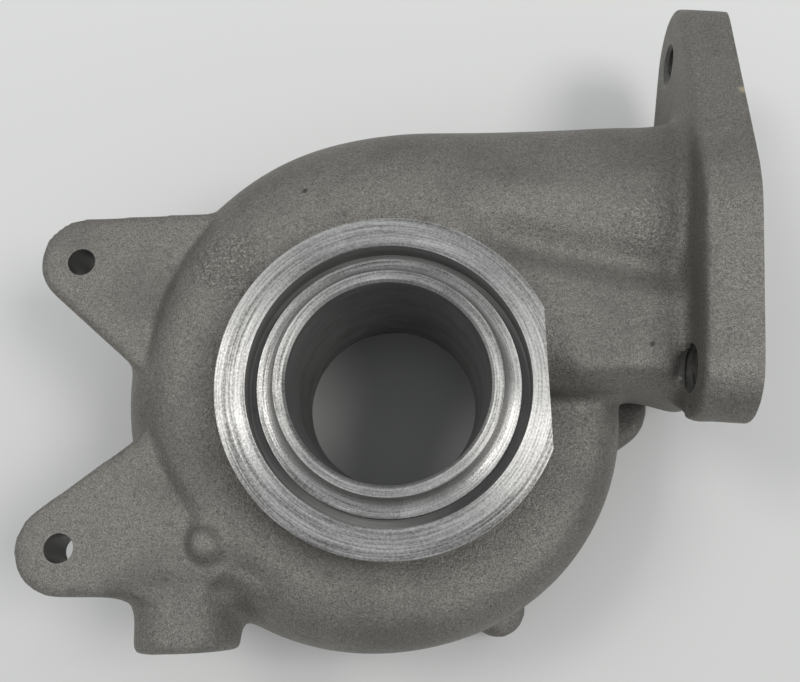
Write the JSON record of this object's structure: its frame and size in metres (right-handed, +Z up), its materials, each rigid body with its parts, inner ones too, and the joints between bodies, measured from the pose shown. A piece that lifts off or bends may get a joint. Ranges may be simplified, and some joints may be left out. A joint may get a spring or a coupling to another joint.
{
  "type": "turbocharger turbine housing",
  "caption": "Cast-iron turbine housing: a spiral scroll fed by an eared inlet flange, a stepped outlet ring and bracket lugs.",
  "frame": {"origin": "on the turbine axis, in the bearing face that the housing stands on", "axes": "+Z up the turbine axis to the outlet ring, +X out of the inlet flange, +Y towards the narrow ear of that flange"},
  "size_m": [0.1803, 0.1901, 0.0795],
  "materials": {
    "cast_iron": "as cast, fine sand texture, machined bright where it seats"
  },
  "bodies": {
    "root": {"turbine_housing": "cast_iron"}
  },
  "joints": []
}
